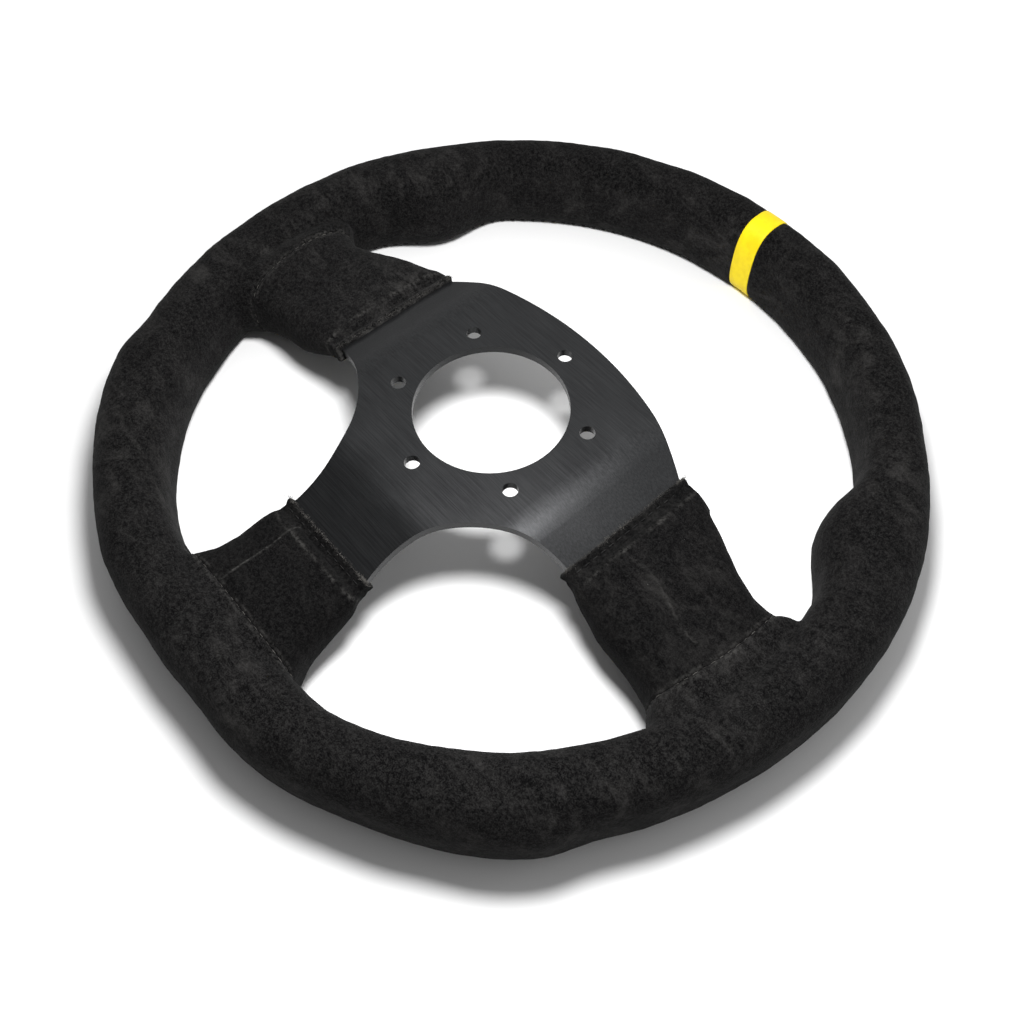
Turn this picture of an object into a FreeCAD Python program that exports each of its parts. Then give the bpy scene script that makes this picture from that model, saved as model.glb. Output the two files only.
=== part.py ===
"""Motorsport steering wheel: dished three-spoke alloy plate, suede covered flat-bottom rim.

Millimetres.  The wheel lies with its column side up: +Z is the steering axis towards the
column, +Y is twelve o'clock, the origin is the middle of the bolt circle on the hub face.
"""
import FreeCAD, Part
import math
import os

os.makedirs("parts", exist_ok=True)
Vec = FreeCAD.Vector

# hub and spoke plate
PLATE_THICK = 3.0
BOLT_CIRCLE_R = 35.0
BOLT_COUNT = 6
BOLT_HOLE_R = 2.75
BORE_R = 27.7
HUB_TOP_Y = 45.9            # crown of the arch between the two side spokes
DISH = 17.0                 # the spoke ends sit this far below the hub face
SIDE_BEND_X = 45.0
SIDE_SLOPE = math.radians(22.0)
LOWER_BEND_Y = -48.0
LOWER_SLOPE = math.radians(25.0)
BEND_REACH = 6.0            # each bend is spread over this length to either side

# side spoke outline, right-hand side, and lower spoke outline
SIDE_HEM_X = 62.5
SIDE_TOP_Y = 30.8
SIDE_LOW_Y = -20.8
SIDE_TIP_X = 124.0
SIDE_TIP_TOP_Y = 17.0
SIDE_TIP_LOW_Y = -15.0
LOWER_HEM_Y = -71.7
LOWER_HALF_W = 20.7
LOWER_TIP_Y = -113.0
LOWER_TIP_HALF_W = 17.0
WAIST = (30.0, -37.0)       # deepest point of the arcs between the lower and side spokes
SIDE_HEM_END = 70.0         # the flat hem runs on this far under the moulded root
LOWER_HEM_END = 79.0
SIDE_SHEET_LOW_Y = -42.0    # below this only the lower spoke's sheet is used
LOWER_SHEET_HALF_W = 38.0

# rim: a hoop whose middle line is a circle with a flat at six o'clock
RIM_CENTRE_Y = 7.8
RIM_MID_Z = -21.5
RIM_HALF_H = 18.1
RIM_OUTER_R = 148.2
RIM_INNER_TOP_R = 126.5
RIM_INNER_LOW_R = 123.3
FLAT_OUTER = 144.1          # distance of the flat from the rim centre, outside and inside
FLAT_INNER = 116.7
FLAT_SHARPNESS = 60.0
SECTION_POWER = 2.7         # 2 is an ellipse, larger is squarer
SUEDE = 1.2
WIDEN_FROM = 12.0           # the hole in the rim widens between these two angles
WIDEN_TO = 40.0

# swellings on the rim: angle above three o'clock, height, reach up and reach down
THUMB_REST = (26.7, 9.6, 13.5, 14.5)
SHOULDER = (24.0, 1.9, 18.0, 45.0)
PALM_REST = (-38.4, 3.6, 9.0, 24.0)

# armature inside the foam
TUBE_R = 6.0
TUBE_WALL = 1.5
TUBE_RING_R = 137.5
TUBE_FLAT_Y = -122.6
TUBE_CORNER_R = 70.0
TAB_THICK = 3.0
TAB_HALF_W = 16.0
TAB_LENGTH = 30.0
RIVET_R = 2.4
RIVET_HEAD_R = 4.2
RIVET_HEAD_H = 1.6
WELD_R = 2.0
WELD_LENGTH = 24.0
WELD_SHIFT = 1.0            # side tabs and their beads sit this far above the hub's centre line
HEAD_CHAMFER = 0.6
SIDE_RIVET_X = 116.0
SIDE_RIVET_YS = (-7.0, 9.0)
LOWER_RIVET_XS = (-9.0, 9.0)
LOWER_RIVET_Y = -103.5

# stitching and stripe
THREAD_R = 0.3
THREAD_LIFT = 0.02         # gap that keeps a stitch clear of the suede under it
STITCH_LENGTH = 2.4
STITCH_PITCH = 3.6
STRIPE_WIDTH = 9.6
STRIPE_DEPTH = 0.6
SEAM_R = 116.5              # side sleeves end at this distance from the rim centre
SIDE_SEAM_HALF_W = 40.0
LOWER_SEAM_Y = -108.4
LOWER_SEAM_HALF_W = 33.0
SEAM_INSET = 1.0
HEM_LINE = 2.6              # hem stitching runs this far in from the hem edge
HEM_END_GAP = 1.0           # and stops this far short of the spoke's side edges
HEM_FACES = ((SUEDE, 1), (-PLATE_THICK - SUEDE, -1))    # lift and facing of its two faces
COVER_SEAM_AT = 240.0       # place of the cover's own seam around the rim section, degrees
COVER_STITCH_PITCH = 5.0
ROOT_POWER = 3.2
SIDE_ROOT_FROM = -24.0      # the rim is hidden behind the spoke roots at these angles
SIDE_ROOT_TO = 12.0
LOWER_ROOT_TO = -72.0

# cutting bodies reach well past the wheel
BELOW = -60.0
ABOVE = 20.0
FAR = 200.0
SHEET_HALF_W = 60.0


def bump(angle, swelling):
    """Smooth swelling about its centre angle, zero beyond its two reaches."""
    centre, height, reach_up, reach_down = swelling
    away = angle - centre
    reach = reach_up if away > 0 else reach_down
    if abs(away) >= reach:
        return 0.0
    return height * math.cos(math.pi / 2 * away / reach) ** 2


def ease(value, low, high):
    t = min(max((value - low) / (high - low), 0.0), 1.0)
    return t * t * (3 - 2 * t)


def with_flat(radius, flat, angle):
    """The smaller of a circle and the bottom flat, blended where they meet."""
    drop = -math.sin(math.radians(angle))
    if drop < 0.5:
        return radius
    chord = flat / drop
    power = FLAT_SHARPNESS
    return chord * (1 + (chord / radius) ** power) ** (-1 / power)


def folded(angle):
    """Fold an angle about the twelve o'clock line into -90..90 degrees."""
    angle = (angle + 180) % 360 - 180
    if angle > 90:
        return 180 - angle
    if angle < -90:
        return -180 - angle
    return angle


def rim_outer(angle):
    a = folded(angle)
    radius = RIM_OUTER_R + bump(a, SHOULDER) + bump(a, PALM_REST)
    return with_flat(radius, FLAT_OUTER, a)


def rim_inner(angle):
    a = folded(angle)
    radius = RIM_INNER_LOW_R + (RIM_INNER_TOP_R - RIM_INNER_LOW_R) * ease(a, WIDEN_FROM, WIDEN_TO)
    radius -= bump(a, THUMB_REST)
    return with_flat(radius, FLAT_INNER, a)


def rounded_square(t):
    """Unit superellipse point at parameter t."""
    c = math.cos(t)
    s = math.sin(t)
    power = 2 / SECTION_POWER
    return math.copysign(abs(c) ** power, c), math.copysign(abs(s) ** power, s)


def closed_curve(points):
    curve = Part.BSplineCurve()
    curve.interpolate(Points=points, PeriodicFlag=True)
    return Part.Wire([curve.toShape()])


def rim_section(angle, shrink, steps=16):
    """Rim cross section at an angle about the rim centre, made smaller by `shrink`."""
    outer = rim_outer(angle) - shrink
    inner = rim_inner(angle) + shrink
    mid = (outer + inner) / 2
    half = (outer - inner) / 2
    height = RIM_HALF_H - shrink
    c = math.cos(math.radians(angle))
    s = math.sin(math.radians(angle))
    points = []
    for i in range(steps):
        across, up = rounded_square(2 * math.pi * (i + 0.5) / steps)
        r = mid + half * across
        points.append(Vec(r * c, RIM_CENTRE_Y + r * s, RIM_MID_Z + height * up))
    return closed_curve(points)


def mirrored(shape):
    return shape.mirror(Vec(0, 0, 0), Vec(1, 0, 0))


def rim_half(shrink, count=30):
    """Right-hand half of the rim, from six o'clock round to twelve."""
    wires = [rim_section(-90 + 180.0 * i / count, shrink) for i in range(count + 1)]
    return Part.makeLoft(wires, True, False)


def rim_solid(shrink):
    half = rim_half(shrink)
    return half.fuse(mirrored(half))


def dish_corners(start, slope, lift):
    """The two corners of a spoke's profile, moved square to the sheet by `lift`."""
    foot = start + DISH / math.tan(slope)
    shift = lift * math.tan(slope / 2)
    return (start + shift, lift), (foot + shift, lift - DISH)


def on_slope(start, slope, lift, along):
    """Point of the sloping part of a spoke at a distance from the hub, moved by `lift`."""
    (x, z), _ = dish_corners(start, slope, lift)
    return along, z - (along - x) * math.tan(slope)


def bend(corner, turn_in, turn_out, radius, place):
    """Tangent arc at a corner between two slopes, as its start, middle and end points."""
    half = abs(turn_out - turn_in) / 2
    reach = radius * math.tan(half)
    middle_slope = (turn_in + turn_out) / 2
    inward = radius * (1 / math.cos(half) - 1)
    side = -1 if turn_out > turn_in else 1
    start = (corner[0] - reach * math.cos(turn_in), corner[1] + reach * math.sin(turn_in))
    end = (corner[0] + reach * math.cos(turn_out), corner[1] - reach * math.sin(turn_out))
    mid = (corner[0] + side * inward * math.sin(middle_slope),
           corner[1] + side * inward * math.cos(middle_slope))
    return [place(*p) for p in (start, mid, end)]


def profile_line(start, slope, lift, far, place):
    """One side of the bent sheet from the wheel axis to the spoke tip."""
    first, second = dish_corners(start, slope, lift)
    radius = BEND_REACH / math.tan(slope / 2)
    a = bend(first, 0.0, slope, radius + lift, place)
    b = bend(second, slope, 0.0, radius - lift, place)
    edges = [Part.makeLine(place(0.0, lift), a[0]), Part.Arc(*a).toShape()]
    edges += [Part.makeLine(a[2], b[0]), Part.Arc(*b).toShape()]
    edges.append(Part.makeLine(b[2], place(far, lift - DISH)))
    return edges


def bent_sheet(start, slope, far, place, extrude):
    """Sheet of plate thickness that follows a spoke's profile."""
    upper = profile_line(start, slope, 0.0, far, place)
    lower = profile_line(start, slope, -PLATE_THICK, far, place)
    ends = [Part.makeLine(place(0.0, 0.0), place(0.0, -PLATE_THICK))]
    ends.append(Part.makeLine(place(far, -DISH), place(far, -DISH - PLATE_THICK)))
    wire = Part.Wire(Part.__sortEdges__(upper + lower + ends))
    return Part.Face(wire).extrude(extrude)


def slope_slab(start, slope, near, far, grow, place, extrude):
    """Straight piece of a spoke's slope, thickened by `grow` on both sides."""
    low = -PLATE_THICK - grow
    ring = [on_slope(start, slope, grow, near), on_slope(start, slope, grow, far)]
    ring += [on_slope(start, slope, low, far), on_slope(start, slope, low, near)]
    ring = [place(*p) for p in ring]
    return Part.Face(Part.makePolygon(ring + [ring[0]])).extrude(extrude)


def side_place(sign):
    return lambda x, z: Vec(sign * x, -SHEET_HALF_W, z)


def lower_place(y, z):
    return Vec(-SHEET_HALF_W, -y, z)


def straight(a, b):
    return Part.makeLine(Vec(a[0], a[1], 0), Vec(b[0], b[1], 0))


def arc(a, via, b):
    return Part.Arc(Vec(a[0], a[1], 0), Vec(via[0], via[1], 0), Vec(b[0], b[1], 0)).toShape()


def prism(edges):
    face = Part.Face(Part.Wire(Part.__sortEdges__(edges)))
    face.translate(Vec(0, 0, BELOW))
    return face.extrude(Vec(0, 0, ABOVE - BELOW))


def plate_outline():
    """Top-view outline: arch over the hub, three spokes, concave arcs between them."""
    top_l = (-SIDE_HEM_X, SIDE_TOP_Y)
    top_r = (SIDE_HEM_X, SIDE_TOP_Y)
    tip_tl = (-SIDE_TIP_X, SIDE_TIP_TOP_Y)
    tip_tr = (SIDE_TIP_X, SIDE_TIP_TOP_Y)
    edges = [arc(top_l, (0, HUB_TOP_Y), top_r)]
    edges.append(straight(top_r, tip_tr))
    edges.append(straight(tip_tr, (SIDE_TIP_X, SIDE_TIP_LOW_Y)))
    edges.append(straight((SIDE_TIP_X, SIDE_TIP_LOW_Y), (SIDE_HEM_X, SIDE_LOW_Y)))
    edges.append(arc((SIDE_HEM_X, SIDE_LOW_Y), WAIST, (LOWER_HALF_W, LOWER_HEM_Y)))
    edges.append(straight((LOWER_HALF_W, LOWER_HEM_Y), (LOWER_TIP_HALF_W, LOWER_TIP_Y)))
    edges.append(straight((LOWER_TIP_HALF_W, LOWER_TIP_Y), (-LOWER_TIP_HALF_W, LOWER_TIP_Y)))
    edges.append(straight((-LOWER_TIP_HALF_W, LOWER_TIP_Y), (-LOWER_HALF_W, LOWER_HEM_Y)))
    waist_l = (-WAIST[0], WAIST[1])
    edges.append(arc((-LOWER_HALF_W, LOWER_HEM_Y), waist_l, (-SIDE_HEM_X, SIDE_LOW_Y)))
    edges.append(straight((-SIDE_HEM_X, SIDE_LOW_Y), (-SIDE_TIP_X, SIDE_TIP_LOW_Y)))
    edges.append(straight((-SIDE_TIP_X, SIDE_TIP_LOW_Y), tip_tl))
    edges.append(straight(tip_tl, top_l))
    return prism(edges)


def block(low, high):
    """Upright box between two corners given in top view."""
    size = (high[0] - low[0], high[1] - low[1])
    return Part.makeBox(size[0], size[1], ABOVE - BELOW, Vec(low[0], low[1], BELOW))


def largest(shape):
    return sorted(shape.Solids, key=lambda s: -s.Volume)[0]


def cylinder(radius, centre, low=BELOW, high=ABOVE):
    return Part.makeCylinder(radius, high - low, Vec(centre[0], centre[1], low))


def rivet_spots():
    """Two rivets through each spoke end and its tab."""
    spots = [(sign * SIDE_RIVET_X, y) for sign in (-1, 1) for y in SIDE_RIVET_YS]
    return spots + [(x, LOWER_RIVET_Y) for x in LOWER_RIVET_XS]


def spoke_plate():
    outline = plate_outline()
    width = Vec(0, 2 * SHEET_HALF_W, 0)
    right = bent_sheet(SIDE_BEND_X, SIDE_SLOPE, SIDE_TIP_X, side_place(1), width)
    sides = right.fuse(mirrored(right))
    sides = sides.common(block((-FAR, SIDE_SHEET_LOW_Y), (FAR, FAR)))
    width = Vec(2 * SHEET_HALF_W, 0, 0)
    lower = bent_sheet(-LOWER_BEND_Y, LOWER_SLOPE, -LOWER_TIP_Y, lower_place, width)
    half = LOWER_SHEET_HALF_W
    lower = lower.common(block((-half, -FAR), (half, 0)))
    plate = sides.fuse(lower).common(outline).removeSplitter()
    plate = plate.cut(cylinder(BORE_R, (0, 0)))
    for i in range(BOLT_COUNT):
        a = math.radians(90 + 360.0 / BOLT_COUNT * i)
        spot = (BOLT_CIRCLE_R * math.cos(a), BOLT_CIRCLE_R * math.sin(a))
        plate = plate.cut(cylinder(BOLT_HOLE_R, spot))
    for spot in rivet_spots():
        plate = plate.cut(cylinder(RIVET_R, spot))
    return plate.Solids[0]


def hoop_path():
    """Middle line of the tube: a large arc closed by a flat with two tangent corner arcs."""
    ring = TUBE_RING_R
    corner = TUBE_CORNER_R
    drop = RIM_CENTRE_Y - (TUBE_FLAT_Y + corner)
    reach = math.sqrt((ring - corner) ** 2 - drop ** 2)
    centre = (reach, RIM_CENTRE_Y - drop)
    turn = math.atan2(-drop, reach)
    join = (ring * math.cos(turn), RIM_CENTRE_Y + ring * math.sin(turn))
    half = (turn - math.pi / 2) / 2
    via = (centre[0] + corner * math.cos(half), centre[1] + corner * math.sin(half))
    foot = (centre[0], TUBE_FLAT_Y)
    edges = [arc(join, (0, RIM_CENTRE_Y + ring), (-join[0], join[1]))]
    edges.append(arc((-join[0], join[1]), (-via[0], via[1]), (-foot[0], foot[1])))
    edges.append(straight((-foot[0], foot[1]), foot))
    edges.append(arc(foot, via, join))
    wire = Part.Wire(edges)
    wire.translate(Vec(0, 0, RIM_MID_Z))
    return wire


def tube(radius):
    path = hoop_path()
    start = path.Edges[0].Vertexes[0].Point
    tangent = path.Edges[0].tangentAt(path.Edges[0].FirstParameter)
    circle = Part.Wire([Part.makeCircle(radius, start, tangent)])
    solid = path.makePipeShell([circle], True, True)
    if solid.ShapeType != "Solid":
        solid = Part.Solid(solid)
    return solid


def tab_blank(kind):
    """Steel tongue under a spoke end, reaching from the plate to the middle of the tube."""
    top = -DISH - PLATE_THICK
    low = top - TAB_THICK
    width = 2 * TAB_HALF_W
    if kind == "lower":
        near = TUBE_FLAT_Y + TAB_LENGTH
        return Part.makeBox(width, TAB_LENGTH, TAB_THICK, Vec(-TAB_HALF_W, near - TAB_LENGTH, low))
    sign = 1 if kind == "right" else -1
    edge = TUBE_RING_R - TAB_LENGTH
    corner = edge if sign > 0 else -edge - TAB_LENGTH
    return Part.makeBox(TAB_LENGTH, width, TAB_THICK, Vec(corner, WELD_SHIFT - TAB_HALF_W, low))


def tab(kind, tube_outer):
    shape = tab_blank(kind).cut(tube_outer)
    for spot in rivet_spots():
        shape = shape.cut(cylinder(RIVET_R, spot))
    return largest(shape)


def rivets():
    top = -DISH
    low = -DISH - PLATE_THICK - TAB_THICK
    out = []
    for spot in rivet_spots():
        shank = cylinder(RIVET_R, spot, low, top)
        head = cylinder(RIVET_HEAD_R, spot, top, top + RIVET_HEAD_H)
        tail = cylinder(RIVET_HEAD_R, spot, low - RIVET_HEAD_H, low)
        head = head.makeChamfer(HEAD_CHAMFER, [head.Edges[0]])
        out.append(shank.fuse([head, tail]).removeSplitter().Solids[0])
    return out


def welds(tube_outer, tabs):
    """One bead along the lower side of each tab where it meets the tube."""
    low = -DISH - PLATE_THICK - TAB_THICK
    inset = TUBE_RING_R - TUBE_R
    beads = []
    half = WELD_LENGTH / 2
    for sign in (-1, 1):
        start = Vec(sign * inset, WELD_SHIFT - half, low)
        beads.append(Part.makeCylinder(WELD_R, WELD_LENGTH, start, Vec(0, 1, 0)))
    start = Vec(-half, TUBE_FLAT_Y + TUBE_R, low)
    beads.append(Part.makeCylinder(WELD_R, WELD_LENGTH, start, Vec(1, 0, 0)))
    out = []
    for bead in beads:
        bead = bead.cut(tube_outer).cut(Part.makeCompound(tabs))
        out.append(largest(bead))
    return out


def oval(centre, half_w, half_h, place, steps=16):
    """Rounded rectangle section of a spoke root."""
    power = ROOT_POWER
    points = []
    for i in range(steps):
        t = 2 * math.pi * (i + 0.5) / steps
        c = math.cos(t)
        s = math.sin(t)
        across = centre[0] + half_w * math.copysign(abs(c) ** (2 / power), c)
        up = centre[1] + half_h * math.copysign(abs(s) ** (2 / power), s)
        points.append(place(across, up))
    return closed_curve(points)


# stations along a side spoke root: distance from the wheel axis, low edge, high edge,
# underside, top
SIDE_ROOT = (
    (67.0, -23.2, 33.0, -16.6, -5.0),
    (72.0, -24.8, 32.8, -20.5, -5.0),
    (84.0, -26.6, 29.8, -28.5, -6.0),
    (98.0, -27.4, 23.4, -33.0, -6.8),
    (108.0, -29.6, 20.0, -35.5, -6.6),
    (115.0, -35.5, 20.8, -37.0, -6.0),
    (121.0, -42.0, 26.0, -37.4, -5.8),
    (131.0, -46.0, 30.0, -36.8, -6.0),
)
LOWER_ROOT = (
    (76.5, 23.6, -20.0, -8.6),
    (81.0, 24.2, -24.5, -8.0),
    (92.0, 24.6, -31.0, -8.0),
    (101.0, 25.8, -34.5, -7.6),
    (107.5, 29.5, -36.5, -7.0),
    (113.0, 35.0, -37.2, -6.6),
    (122.0, 36.0, -36.8, -6.4),
)


def side_root(sign, shrink):
    wires = []
    for i, (x, low, high, under, top) in enumerate(SIDE_ROOT):
        if i == 0:
            x += shrink
        centre = ((low + high) / 2, (under + top) / 2)
        half_w = (high - low) / 2 - shrink
        half_h = (top - under) / 2 - shrink
        wires.append(oval(centre, half_w, half_h, lambda y, z, x=x: Vec(sign * x, y, z)))
    return Part.makeLoft(wires, True, False)


def lower_root(shrink):
    wires = []
    for i, (y, half, under, top) in enumerate(LOWER_ROOT):
        if i == 0:
            y += shrink
        half_h = (top - under) / 2 - shrink
        centre = (0.0, (under + top) / 2)
        wires.append(oval(centre, half - shrink, half_h, lambda x, z, y=y: Vec(x, -y, z)))
    return Part.makeLoft(wires, True, False)


def side_hem():
    """Flat part of the left sleeve that lies on the plate, plate included."""
    width = Vec(0, 2 * SHEET_HALF_W, 0)
    sheet = slope_slab(SIDE_BEND_X, SIDE_SLOPE, SIDE_HEM_X, SIDE_HEM_END, SUEDE,
                       side_place(-1), width)
    low = SIDE_LOW_Y - 1.5 * SUEDE
    return sheet.common(block((-FAR, low), (0, SIDE_TOP_Y + SUEDE / 2)))


def lower_hem():
    """Flat part of the bottom sleeve that lies on the plate, plate included."""
    width = Vec(2 * SHEET_HALF_W, 0, 0)
    sheet = slope_slab(-LOWER_BEND_Y, LOWER_SLOPE, -LOWER_HEM_Y, LOWER_HEM_END, SUEDE,
                       lower_place, width)
    half = LOWER_HALF_W + SUEDE
    return sheet.common(block((-half, -FAR), (half, 0)))


def save(name, shape):
    if isinstance(shape, list):
        shape = Part.makeCompound(shape)
    shape.exportStep("parts/" + name + ".step")
    box = shape.optimalBoundingBox(False)
    print("%-22s solids %2d vol %9.0f valid %s  x %.1f..%.1f y %.1f..%.1f z %.1f..%.1f" % (
        name, len(shape.Solids), shape.Volume, shape.isValid(), box.XMin, box.XMax,
        box.YMin, box.YMax, box.ZMin, box.ZMax))


def side_region(radius=SEAM_R):
    """Space taken by the left sleeve, out to its seam with the rim cover."""
    half = SIDE_SEAM_HALF_W
    return cylinder(radius, (0, RIM_CENTRE_Y)).common(block((-FAR, -half), (-half, half)))


def lower_region():
    """Space taken by the bottom sleeve, out to its seam with the rim cover."""
    return block((-LOWER_SEAM_HALF_W, LOWER_SEAM_Y), (LOWER_SEAM_HALF_W, -SHEET_HALF_W))


def stripe_region():
    return block((-STRIPE_WIDTH / 2, 0), (STRIPE_WIDTH / 2, FAR))


def stitch(middle, way, outward, length=STITCH_LENGTH):
    """Short round thread lying on a surface, touching it at the middle."""
    way = Vec(way).normalize()
    outward = Vec(outward).normalize()
    start = middle + outward * (THREAD_R + THREAD_LIFT) - way * (length / 2)
    return Part.makeCylinder(THREAD_R, length, start, way)


def stitch_row(start, end, outward):
    """Running stitches along a straight line."""
    way = end - start
    count = int(way.Length / STITCH_PITCH)
    steps = [(i + 0.5) / count for i in range(count)]
    return [stitch(start + way * t, way, outward) for t in steps]


def side_hem_rows():
    """Hem stitching across the left sleeve, on its upper and under side."""
    rows = []
    at = SIDE_HEM_X + HEM_LINE
    for lift, face in HEM_FACES:
        x, z = on_slope(SIDE_BEND_X, SIDE_SLOPE, lift, at)
        outward = Vec(-face * math.sin(SIDE_SLOPE), 0, face * math.cos(SIDE_SLOPE))
        rows += stitch_row(Vec(-x, SIDE_LOW_Y + HEM_END_GAP, z),
                           Vec(-x, SIDE_TOP_Y - HEM_END_GAP, z), outward)
    return rows


def lower_hem_rows():
    rows = []
    at = -LOWER_HEM_Y + HEM_LINE
    edge = LOWER_HALF_W - HEM_END_GAP
    for lift, face in HEM_FACES:
        y, z = on_slope(-LOWER_BEND_Y, LOWER_SLOPE, lift, at)
        outward = Vec(0, -face * math.sin(LOWER_SLOPE), face * math.cos(LOWER_SLOPE))
        rows += stitch_row(Vec(-edge, -y, z), Vec(edge, -y, z), outward)
    return rows


def seam_face(side):
    """Surface just inside a sleeve's seam, used to find the line its stitches follow."""
    if side == "left":
        region = side_region(SEAM_R - SEAM_INSET)
        return [f for f in region.Faces if isinstance(f.Surface, Part.Cylinder)][0]
    low = LOWER_SEAM_Y + SEAM_INSET
    slab = block((-LOWER_SEAM_HALF_W, low), (LOWER_SEAM_HALF_W, low + SUEDE))
    return sorted(slab.Faces, key=lambda f: f.CenterOfMass.y)[0]


def seam_rows(side, outer):
    """Stitches all round a sleeve, along its seam with the rim cover."""
    face = seam_face(side)
    line = outer.section(face)
    loops = [Part.Wire(edges) for edges in Part.sortEdges(line.Edges)]
    loop = sorted(loops, key=lambda w: -w.Length)[0]
    count = int(loop.Length / STITCH_PITCH)
    marks = loop.discretize(Number=2 * count + 1)
    heart = sum(marks[:-1], Vec()) * (1 / (2 * count))
    rows = []
    for i in range(count):
        here = marks[2 * i + 1]
        way = marks[2 * i + 2] - marks[2 * i]
        across = Vec(0, 1, 0) if side == "bottom" else Vec(here.x, here.y - RIM_CENTRE_Y, 0)
        outward = way.cross(across)
        if outward.dot(here - heart) < 0:
            outward = outward * -1
        rows.append(stitch(here, way, outward))
    return rows


def rim_point(angle, turn, grow=0.0):
    """Point on the rim surface: angle round the wheel, turn round the section."""
    outer = rim_outer(angle) + grow
    inner = rim_inner(angle) - grow
    across, up = rounded_square(math.radians(turn))
    r = (outer + inner) / 2 + (outer - inner) / 2 * across
    a = math.radians(angle)
    z = RIM_MID_Z + (RIM_HALF_H + grow) * up
    return Vec(r * math.cos(a), RIM_CENTRE_Y + r * math.sin(a), z)


def cover_stitches():
    """Short stitches across the cover's closing seam, on the driver's side of the hoop."""
    out = []
    length = 2 * math.pi * RIM_INNER_LOW_R
    count = int(length / COVER_STITCH_PITCH)
    for i in range(count):
        angle = 360.0 * i / count + 1
        if near_spoke_root(angle):
            continue
        here = rim_point(angle, COVER_SEAM_AT)
        over = rim_point(angle, COVER_SEAM_AT + 3) - rim_point(angle, COVER_SEAM_AT - 3)
        along = rim_point(angle + 0.5, COVER_SEAM_AT) - rim_point(angle - 0.5, COVER_SEAM_AT)
        outward = along.cross(over)
        if outward.z > 0:
            outward = outward * -1
        out.append(stitch(here, over, outward))
    return out


def near_spoke_root(angle):
    """True where the cover runs onto a spoke root, so the closing seam is hidden."""
    a = folded(angle)
    return SIDE_ROOT_FROM < a < SIDE_ROOT_TO or a < LOWER_ROOT_TO


def build():
    plate = spoke_plate()
    tube_outer = tube(TUBE_R)
    hoop = tube_outer.cut(tube(TUBE_R - TUBE_WALL))
    tabs = [tab(kind, tube_outer) for kind in ("left", "right", "lower")]
    rivet_list = rivets()
    weld_list = welds(tube_outer, tabs)
    save("spoke_plate", plate)
    save("rim_hoop", hoop)
    for name, shape in zip(("left", "right", "bottom"), tabs):
        save("hoop_tab_" + name, shape)
    save("spoke_rivets", rivet_list)
    save("tab_welds", weld_list)

    outer = rim_solid(0.0).fuse([side_root(-1, 0), side_root(1, 0), lower_root(0)])
    inner = rim_solid(SUEDE).fuse([side_root(-1, SUEDE), side_root(1, SUEDE), lower_root(SUEDE)])
    metal = Part.makeCompound([plate, tube_outer] + tabs + rivet_list + weld_list)
    foam = largest(inner.cut(metal))
    save("rim_foam", foam)

    stripe_inner = rim_solid(STRIPE_DEPTH)
    stripe = largest(rim_solid(0.0).cut(stripe_inner).common(stripe_region()))
    save("centre_stripe", stripe)
    skin = outer.cut(inner)
    side = side_region()
    lower = lower_region()
    cover = largest(skin.cut(Part.makeCompound([side, mirrored(side), lower])).cut(stripe))
    save("rim_cover", cover)
    left = largest(skin.common(side).fuse(side_hem()).cut(plate).cut(inner))
    left_set = {"spoke_sleeve_": left, "hem_thread_": Part.makeCompound(side_hem_rows()),
                "seam_thread_": Part.makeCompound(seam_rows("left", outer))}
    for name, shape in left_set.items():
        save(name + "left", shape)
        save(name + "right", mirrored(shape))
    bottom = largest(skin.common(lower).fuse(lower_hem()).cut(plate).cut(inner))
    save("spoke_sleeve_bottom", bottom)
    save("hem_thread_bottom", lower_hem_rows())
    save("seam_thread_bottom", seam_rows("bottom", outer))
    save("cover_seam_thread", cover_stitches())


build()
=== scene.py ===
import math

import bmesh
import bpy
import numpy as np
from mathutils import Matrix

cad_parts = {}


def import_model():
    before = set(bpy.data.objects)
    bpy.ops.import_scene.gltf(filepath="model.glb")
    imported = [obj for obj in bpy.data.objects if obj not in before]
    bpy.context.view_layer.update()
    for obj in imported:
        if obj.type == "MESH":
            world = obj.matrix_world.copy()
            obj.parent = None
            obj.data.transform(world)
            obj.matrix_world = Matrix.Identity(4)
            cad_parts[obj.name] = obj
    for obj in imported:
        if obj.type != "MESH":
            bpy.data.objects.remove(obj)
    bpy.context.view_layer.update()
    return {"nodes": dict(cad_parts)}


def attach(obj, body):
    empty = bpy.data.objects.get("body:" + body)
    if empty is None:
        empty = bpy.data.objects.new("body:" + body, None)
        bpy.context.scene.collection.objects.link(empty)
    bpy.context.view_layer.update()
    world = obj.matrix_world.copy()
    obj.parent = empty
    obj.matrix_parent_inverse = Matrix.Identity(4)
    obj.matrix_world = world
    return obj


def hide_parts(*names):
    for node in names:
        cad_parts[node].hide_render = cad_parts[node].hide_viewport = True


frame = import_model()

import openvdb
from mathutils import Matrix, Vector

nodes = frame["nodes"]
SCENE = bpy.context.scene
rng = np.random.default_rng(20)

# Shapes are worked out in millimetres, as in the CAD, and scaled when a mesh is made.
MM = 0.001

# rim
RIM_CENTRE_Y = 7.8
RIM_MID_Z = -21.5
RIM_HALF_H = 18.1
RIM_OUTER_R = 148.2
RIM_INNER_TOP_R = 126.5
RIM_INNER_LOW_R = 123.3
FLAT_OUTER = 144.1
FLAT_INNER = 116.7
FLAT_SHARPNESS = 60.0
SECTION_POWER = 2.7
WIDEN_FROM = 12.0
WIDEN_TO = 40.0
FLAT_FROM = -30.0
FLOOR_Z = -39.6

# swellings of the rim: angle above three o'clock, height, reach upwards, reach downwards
THUMB_REST = (26.7, 9.6, 13.5, 14.5)
SHOULDER = (24.0, 1.9, 18.0, 45.0)
PALM_REST = (-38.4, 3.6, 9.0, 24.0)

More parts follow.
